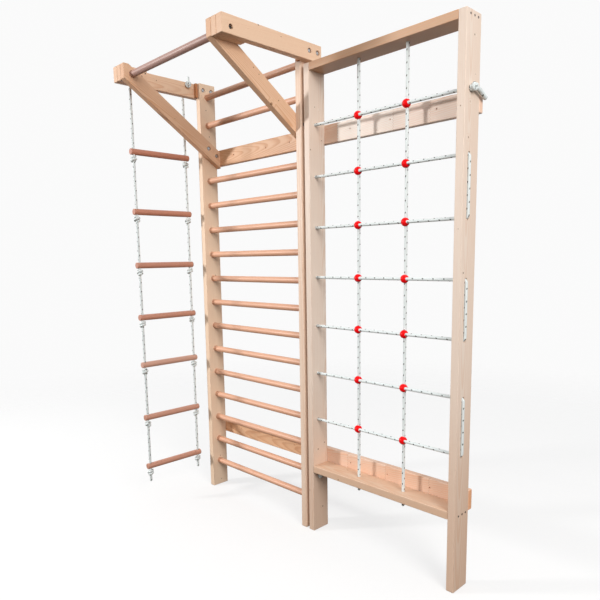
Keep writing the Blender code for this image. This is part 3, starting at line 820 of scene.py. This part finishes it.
def joined(name, pieces):
    """Several solids of one fastener, or of one row of fasteners, as one piece."""
    bpy.ops.object.select_all(action="DESELECT")
    for piece in pieces:
        piece.select_set(True)
    bpy.context.view_layer.objects.active = pieces[0]
    bpy.ops.object.join()
    pieces[0].name = name
    pieces[0].data.name = name
    return pieces[0]


zinc_finish = steel_finish("zinc_plated_steel", zinc, 0.32)
dark_finish = steel_finish("burnished_steel", dark_steel, 0.42)


def through_bolt(name, y, z, head, nut, way):
    """A bolt along X: its head lies in the pocket at head, its nut in the one at nut."""
    floor = head + way * pocket_depth
    ceiling = nut - way * pocket_depth
    solids = []
    for start, length, radius, sides, ease in (
        (floor, -washer_thick, washer_radius, 32, 0.0004),
        (floor - way * washer_thick, -head_high, hexagon_radius, 6, hexagon_ease),
        (floor - way * boss_start, -boss_high, boss_radius, 28, 0.0003),
        (floor, (ceiling - floor) * way, shank_radius, 20, 0.0003),
        (ceiling, washer_thick, washer_radius, 32, 0.0004),
        (ceiling + way * washer_thick, nut_high, hexagon_radius, 6, hexagon_ease),
        (ceiling + way * thread_start, thread_long, thread_radius, 20, 0.0005),
    ):
        heading = (way if length > 0 else -way, 0, 0)
        solids.append(short_rod((start, y, z), heading, abs(length), radius, sides, ease))
    return fit(dress_edges(joined(name, solids)), zinc_finish, "frame")


for side in ("left", "right"):
    outer, inner, way = faces_of(arms[side], side)
    for number, (y, z) in enumerate(arm_bolts, 1):
        through_bolt(f"arm_bolt_{side}_{number}", y, z, outer, faces_of(posts[side], side)[1], way)
    for number, (y, z) in enumerate(foot_bolts, 1):
        start = faces_of(posts[side], side)[0]
        through_bolt(f"brace_bolt_{side}_{number}", y, z, start, faces_of(braces[side], side)[1], way)
    seat = outer + way * recess_depth
    outward = (-way, 0, 0)
    spot = (seat, bar_y, bar_z)
    solids = [short_rod(spot, outward, bar_washer_thick, bar_washer_radius, 28, 0.0003)]
    head_start = (seat - way * bar_washer_thick, bar_y, bar_z)
    head = short_rod(head_start, outward, socket_head_high, socket_head_radius, 28, 0.0008)
    mouth = seat - way * 0.0073
    bore_across(head, mouth, mouth + way * socket_depth, bar_y, bar_z, socket_radius, sides=6)
    solids += [head, short_rod(spot, (way, 0, 0), bar_screw_long, bar_screw_radius, 20, 0.0004)]
    fit(dress_edges(joined(f"bar_screw_{side}", solids)), dark_finish, "frame")


# Countersunk wood screws: two hold each spacer block to its brace and arm, and their heads sit almost flush
# with the block's inner face. The same head, with its cross recess, is used along the whole set.
screw_head_thick, screw_head_radius = 0.002, 0.0044
screw_head_sunk = 0.0016
cross_size = (0.0048, 0.0011, 0.0022)
cross_middle = (0, 0, 0.0004)
block_screws = ((-0.19065, 2.363), (-0.16865, 2.382))


def screw_head():
    """One countersunk head with its face up at the origin and a cross recess."""
    head = short_rod((0, 0, -screw_head_sunk), (0, 0, 1), screw_head_thick, screw_head_radius, 24, 0.0003)
    for turn in (0, math.pi / 2):
        bpy.ops.mesh.primitive_cube_add(
            size=1, location=cross_middle, rotation=(0, 0, turn), scale=cross_size
        )
        carve(head, bpy.context.object)
    return dress_edges(head)


pattern_head = screw_head()
pattern_head.hide_render = True


def screw_row(name, places, outward, finish):
    """Screw heads at their places, each turned a little further, as one piece."""
    heads = []
    lay = Vector(outward).to_track_quat("Z", "Y").to_matrix().to_4x4()
    for number, place in enumerate(places):
        mesh = pattern_head.data.copy()
        mesh.transform(Matrix.Translation(place) @ lay @ Matrix.Rotation(0.5 + 1.9 * number, 4, "Z"))
        heads.append(placed(name, mesh))
    return fit(joined(name, heads), finish, "frame")


for side in ("left", "right"):
    _, inner, way = faces_of(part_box(f"spacer_block_{side}"), side)
    places = [(inner, y, z) for y, z in block_screws]
    screw_row(f"block_screws_{side}", places, (way, 0, 0), dark_finish)


# The net frame's posts: pine like the others, bored for every row of the net. Between rows the rope lies in
# a routed slot in the outer face, with round ends.
net_pine_light = (0.790, 0.680, 0.590, 1)
net_pine_dark = (0.650, 0.410, 0.270, 1)
net_knots = {
    "left": [
        ((0.0641, 0.2124, 2.1098), 0.003),
        ((0.0641, 0.181, 1.9125), 0.004),
        ((0.0641, 0.2592, 1.9631), 0.003),
        ((0.0641, 0.2111, 0.4321), 0.005),
        ((0.0641, 0.2595, 0.4571), 0.0035),
        ((0.0641, 0.2409, 0.1142), 0.0045),
        ((0.0374, 0.1744, 0.2151), 0.003),
    ],
    "right": [
        ((0.8531, 0.1744, 1.9595), 0.003),
        ((0.8711, 0.2341, 2.2187), 0.004),
        ((0.8711, 0.2065, 1.847), 0.004),
        ((0.8711, 0.1926, 1.3373), 0.0045),
        ((0.8711, 0.246, 2.081), 0.002),
    ],
}
net_posts = {side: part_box(f"net_post_{side}") for side in ("left", "right")}
beam_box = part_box("net_beam")
shelf_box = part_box("net_shelf")
row_space = (beam_box[0].z - shelf_box[1].z) / 8
row_heights = [beam_box[0].z - (i + 1) * row_space for i in range(7)]
lace_y = 0.21435
lace_end = shelf_box[0].z - 0.020
net_rope_hole = 0.0077
slot_depth = 0.0078
slot_radius = 0.0092
slots = {
    "left": [(row_heights[i], row_heights[i + 1]) for i in (0, 2, 4)] + [(row_heights[6], lace_end)],
    "right": [(row_heights[i], row_heights[i + 1]) for i in (1, 3, 5)],
}

for side in ("left", "right"):
    node = f"net_post_{side}"
    outer, inner, way = faces_of(net_posts[side], side)
    post = plank(f"{node}_wood", net_posts[side], post_edge)
    holes = row_heights + ([lace_end] if side == "left" else [])
    for z in holes:
        bore_across(post, outer - way * overrun, inner + way * overrun, lace_y, z, net_rope_hole)
    for top, bottom in slots[side]:
        size = (slot_depth * 2, slot_radius * 2, top - bottom)
        bpy.ops.mesh.primitive_cube_add(size=1, location=(outer, lace_y, (top + bottom) / 2), scale=size)
        cutter = bpy.context.object
        bpy.ops.object.transform_apply()
        carve(post, cutter)
        for z in (top, bottom):
            bore_across(post, outer - way * overrun, outer + way * slot_depth, lace_y, z, slot_radius)
    dress_edges(post, 0.0006)
    seed, pith = (14.2, (-0.06, 0.05)) if side == "left" else (17.9, (0.07, -0.02))
    # The net posts' darker, redder foot is painted shade for the weaker light on their lower parts.
    finish = wood_finish(
        f"pine_net_post_{side}", net_posts[side], "z", net_pine_light, net_pine_dark, seed,
        pith=pith, contrast=0.42, pins=0.03, knots=net_knots[side], foot=0.45
    )
    fit(post, finish, "frame", node, slot="pine")


# The beam on top and the shelf near the floor: pine boards between the posts. The beam is bored from above
# with wide pockets that hide the knots of the upright ropes, which go on through the shelf.
upright_y = 0.22635
column_xs = [centre_of(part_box(f"net_ball_{c}_1"))[0] for c in (1, 2)]
beam_pocket_depth = 0.025
# The beam's darker colour is painted shade, standing for the shadow on its front.
shaded_beam_light = (0.590, 0.380, 0.245, 1)
shelf_light = (0.700, 0.510, 0.375, 1)

for node, box, seed, pith, light in (
    ("net_beam", beam_box, 11.5, (0.05, 0.06), shaded_beam_light),
    ("net_shelf", shelf_box, 19.3, (0.045, -0.02), shelf_light),
):
    board = plank(f"{node}_wood", box, post_edge)
    for x in column_xs:
        start = (x, upright_y, box[1].z + overrun)
        bore(board, (start, (x, upright_y, box[0].z - overrun), net_rope_hole))
        if node == "net_beam":
            bore(board, (start, (x, upright_y, box[1].z - beam_pocket_depth), knot_pocket_radius), sides=40)
    dress_edges(board, 0.0007)
    knots = [((0.2324, box[0].y, 0.3251), 0.004), ((0.2265, 0.2526, box[1].z), 0.0035)]
    finish = wood_finish(
        f"{node}_pine", box, "x", light, arm_dark, seed, pith=pith, lean=(0.03, 0.02), pins=0.036, knots=knots
    )
    fit(board, finish, "frame", node, slot="pine")


# The net frame's wall boards: pine strips glued from short blocks with finger joints, each block from another
# tree, so their tones differ. Three bores in each take the wall's own screws.
net_board_holes = (0.223, 0.451, 0.683)
block_light = (0.860, 0.790, 0.720, 1)
block_dark = (0.780, 0.330, 0.120, 1)
net_board_blocks = {
    "lower": ((-0.420, 0.30), (-0.245, -0.05), (-0.010, 0.08), (0.230, -0.04)),
    "upper": ((-0.420, 0.30), (-0.302, -0.42), (0.020, 0.16), (0.205, 0.06)),
}

for level, seed in (("lower", 3.0), ("upper", 6.0)):
    node = f"net_board_{level}"
    finish = wood_finish(
        f"jointed_pine_{level}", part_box(node), "x", block_light, block_dark, seed,
        pith=(0.02, 0.07), lean=(0.02, 0.04), contrast=0.28, pins=0.024, blocks=net_board_blocks[level]
    )
    wall_board(node, net_board_holes, finish)


# Wood screws of the frames: three heads in a row through each net post into the beam and the shelf, and two
# through each end of every wall board into the post's back.
frame_screw_heights = {"top": 2.285, "foot": 0.333}
frame_screw_steps = (0.028, 0.057, 0.084)
board_screw_aside = 0.006
board_screw_from_edge = 0.026

for side in ("left", "right"):
    outer, inner, way = faces_of(net_posts[side], side)
    for level, z in frame_screw_heights.items():
        places = [(outer - way * 0.0001, post_front + step, z) for step in frame_screw_steps]
        screw_row(f"frame_screws_{side}_{level}", places, (-way, 0, 0), dark_finish)

for module, pair in (("bars", posts), ("net", net_posts)):
    for level in ("lower", "upper"):
        low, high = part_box(f"{module}_board_{level}")
        places = []
        for box in pair.values():
            x = centre_of(box)[0]
            places.append((x - board_screw_aside, high.y - 0.0005, low.z + board_screw_from_edge))
            places.append((x + board_screw_aside, high.y - 0.0005, high.z - board_screw_from_edge))
        screw_row(f"{module}_board_screws_{level}", places, (0, 1, 0), dark_finish)


# The climbing net: one rope laced through the posts in seven rows, from a stopper knot on the right post to
# one on the left post's inner face under the shelf, and two upright ropes behind it, knotted top and bottom.
lace_bend = 0.012
knot_long = 0.0262
knot_wide = 0.034
lace_tail_thick = 0.018
lace_tail_steps = (
    (0, 0, 0.002),
    (0.001, 0.012, -0.002),
    (0.001, 0.034, -0.006),
    (0, 0.060, -0.015),
    (0, 0.078, -0.024),
    (0, 0.089, -0.031),
)
top_knot_long = 0.022
foot_knot_long = 0.024
upright_tail = 0.0363
left_turn = net_posts["left"][0].x - 0.001
right_turn = net_posts["right"][1].x + 0.001
right_face = net_posts["right"][1].x
left_inside = net_posts["left"][1].x

corners = []
for number, z in enumerate(row_heights):
    ends = [(right_turn, z), (left_turn, z)]
    corners += ends if number % 2 == 0 else ends[::-1]
corners = [(right_face + knot_long * 0.8, row_heights[0])] + corners[1:]
corners += [(left_turn, lace_end), (left_inside + knot_long * 0.8, lace_end)]


def rounded(corners, bend, steps=8):
    """A route along straight lines, with its corners rounded."""
    points = [Vector(corners[0])]
    for before, corner, after in zip(corners, corners[1:], corners[2:]):
        corner = Vector(corner)
        arrive = (corner - Vector(before)).normalized()
        leave = (Vector(after) - corner).normalized()
        centre = corner + (leave - arrive) * bend
        for step in range(steps + 1):
            angle = math.pi / 2 * step / steps
            points.append(centre + (arrive * math.sin(angle) - leave * math.cos(angle)) * bend)
    points.append(Vector(corners[-1]))
    return points


lace_route = [(point.x, lace_y, point.y) for point in rounded([Vector(c) for c in corners], lace_bend)]
lace = rope_skin("net_lace", lace_route, rope_thick)
fit(lace, rope_material, "frame", "climbing_net", slot="rope")

start = (right_face + touch, lace_y, row_heights[0])
wound_knot("lace_start_knot", "frame", start, (1, 0, 0), knot_long, knot_wide, 2.1, 0.9, 0.0070)
middle = Vector((right_face + 0.0155, lace_y, row_heights[0]))
tail = rope_skin("lace_tail", [middle + Vector(step) for step in lace_tail_steps], lace_tail_thick)
fit(tail, rope_material, "frame", slot="rope")
start = (left_inside + touch, lace_y, lace_end)
wound_knot("lace_end_knot", "frame", start, (1, 0, 0), knot_long, knot_wide, 2.1, 2.2, 0.0066)

top_floor = beam_box[1].z - beam_pocket_depth + touch
shelf_under = shelf_box[0].z
for number, x in enumerate(column_xs, 1):
    top = top_floor + top_knot_long
    foot = shelf_under - upright_tail
    spots = [top - (top - foot) * i / 24 for i in range(25)]
    upright = rope_skin(f"net_upright_{number}", [(x, upright_y, z) for z in spots], rope_thick)
    fit(upright, rope_material, "frame", slot="rope")
    name, start = f"upright_top_knot_{number}", (x, upright_y, top_floor)
    wound_knot(name, "frame", start, (0, 0, 1), top_knot_long, knot_wide, 1.5)
    name, start = f"upright_foot_knot_{number}", (x, upright_y, shelf_under - touch)
    wound_knot(name, "frame", start, (0, 0, -1), foot_knot_long, knot_wide, 1.6, 1.1 * number)


# Fourteen balls, one at each crossing: glossy red moulded plastic in two halves with a fine seam, bored both
# ways for the two ropes, with rounded mouths.
ball_red = (0.940, 0.004, 0.007, 1)
ball_worn = (0.800, 0.012, 0.015, 1)
ball_seam = (0.30, 0.008, 0.010, 1)
ball_radius = 0.0185
ball_y = centre_of(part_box("net_ball_1_1"))[1]
mouth_ease = 0.0011


def ball_finish(name):
    """Moulded plastic: a seam round the middle, faint swirls and fine scuffs."""
    wire, shader, material = new_finish(name)
    place = wire.node("ShaderNodeTexCoord", {}, out="Object")
    x, y, z = place.parts()
    seam = 1 - abs(y - ball_y).rise(0.0002, 0.0006)
    swirl = wire.noise(place, 90.0, 3.0)
    scuff = wire.noise(wire.node("ShaderNodeMapping", {0: place, 3: (1, 1, 6)}), 420.0, 3.0).rise(0.6, 0.75)
    colour = wire.mix(swirl.rise(0.4, 0.75) * 0.5, ball_red, ball_worn)
    feed(shader, "Base Color", wire.mix(seam * 0.5, colour, ball_seam))
    feed(shader, "Roughness", 0.28 + scuff * 0.25 + (swirl - 0.5) * 0.08)
    shader.inputs["Specular IOR Level"].default_value = 0.12
    relief(shader, 1 - seam * 0.8 - scuff * 0.1, 0.0004)
    return material


ball_material = ball_finish("red_plastic")
bpy.ops.mesh.primitive_uv_sphere_add(
    segments=40, ring_count=20, radius=ball_radius, location=(0, ball_y, 0), rotation=(math.pi / 2, 0, 0)
)
ball = bpy.context.object
bpy.ops.object.transform_apply()
reach = ball_radius + overrun
bore(ball, ((-reach, lace_y, 0), (reach, lace_y, 0), net_rope_hole))
bore(ball, ((0, upright_y, -reach), (0, upright_y, reach), net_rope_hole))
dress_edges(ball, mouth_ease)
for column, x in enumerate(column_xs, 1):
    for row, z in enumerate(row_heights, 1):
        mesh = ball.data.copy()
        mesh.transform(Matrix.Translation((x, 0, z)))
        piece = placed(f"ball_{column}_{row}", mesh)
        fit(piece, ball_material, "frame", f"net_ball_{column}_{row}", slot="ball_plastic")
bpy.data.objects.remove(ball)
bpy.data.objects.remove(pattern_head)


# The floor and the light: a pale floor that fades into the pale background, a smaller lamp in front on the
# left, a large soft one high on the right, and a glow that comes from above.
backdrop = (0.960, 0.960, 0.960, 1)
floor_pale = (0.32, 0.32, 0.32, 1)
floor_dull = (0.29, 0.29, 0.29, 1)
floor_bounce = (0.08, 0.055, 0.035, 1)
sky_low = (0.02, 0.015, 0.01, 1)
sky_high = (0.62, 0.63, 0.64, 1)
black = (0, 0, 0, 1)

bpy.ops.mesh.primitive_plane_add(size=16, location=(0, 0, 0))
floor = bpy.context.object
floor.name = "floor"
wire, shader, material = new_finish("pale_floor")
place = wire.node("ShaderNodeTexCoord", {}, out="Object")
x, y, z = place.parts()
reach = (x * x + y * y).math("SQRT")
grit = wire.noise(place, 40.0, 3.0)
camera_ray = wire.node("ShaderNodeLightPath", {}, out="Is Camera Ray")
floor_colour = wire.mix(grit * 0.3, floor_pale, floor_dull)
feed(shader, "Base Color", wire.mix(camera_ray, floor_bounce, floor_colour))
feed(shader, "Emission Color", wire.mix(camera_ray, black, backdrop))
shader.inputs["Emission Strength"].default_value = 0.66
shader.inputs["Roughness"].default_value = 0.9
feed(shader, "Alpha", 1 - reach.rise(2.0, 5.5))
floor.data.materials.append(material)


def lamp(name, place, target, size, power, colour):
    light = bpy.data.lights.new(name, "AREA")
    light.shape = "DISK"
    light.size = size
    light.energy = power
    light.color = colour
    piece = placed(name, light)
    piece.location = place
    piece.rotation_euler = (Vector(target) - Vector(place)).to_track_quat("-Z", "Y").to_euler()


lamp("front_lamp", (-4.0, -4.6, 2.8), (0, 0.1, 1.4), 0.8, 264, (1.0, 0.98, 0.96))
lamp("side_lamp", (4.6, -1.6, 3.2), (0, 0.1, 1.4), 2.6, 192, (1.0, 0.97, 0.94))

world = bpy.data.worlds.new("surroundings")
bpy.context.scene.world = world
world.use_nodes = True
tree = world.node_tree
wire = Wire(tree)
camera_ray, glossy_ray, clear_ray = wire.node(
    "ShaderNodeLightPath", {}, out=("Is Camera Ray", "Is Glossy Ray", "Is Transmission Ray")
)
seen = camera_ray.math("MAXIMUM", glossy_ray).math("MAXIMUM", clear_ray)
_, _, height = wire.node("ShaderNodeTexCoord", {}, out="Object").parts()
sky = wire.mix(height.rise(-0.4, 0.8), sky_low, sky_high)
glow = wire.node("ShaderNodeBackground", {"Color": sky, "Strength": 1.0})
pale = wire.node("ShaderNodeBackground", {"Color": backdrop, "Strength": 1.0})
both = wire.node("ShaderNodeMixShader", {0: seen, 1: glow, 2: pale})
tree.links.new(both.socket, tree.nodes["World Output"].inputs["Surface"])
bpy.context.scene.view_settings.view_transform = "Standard"
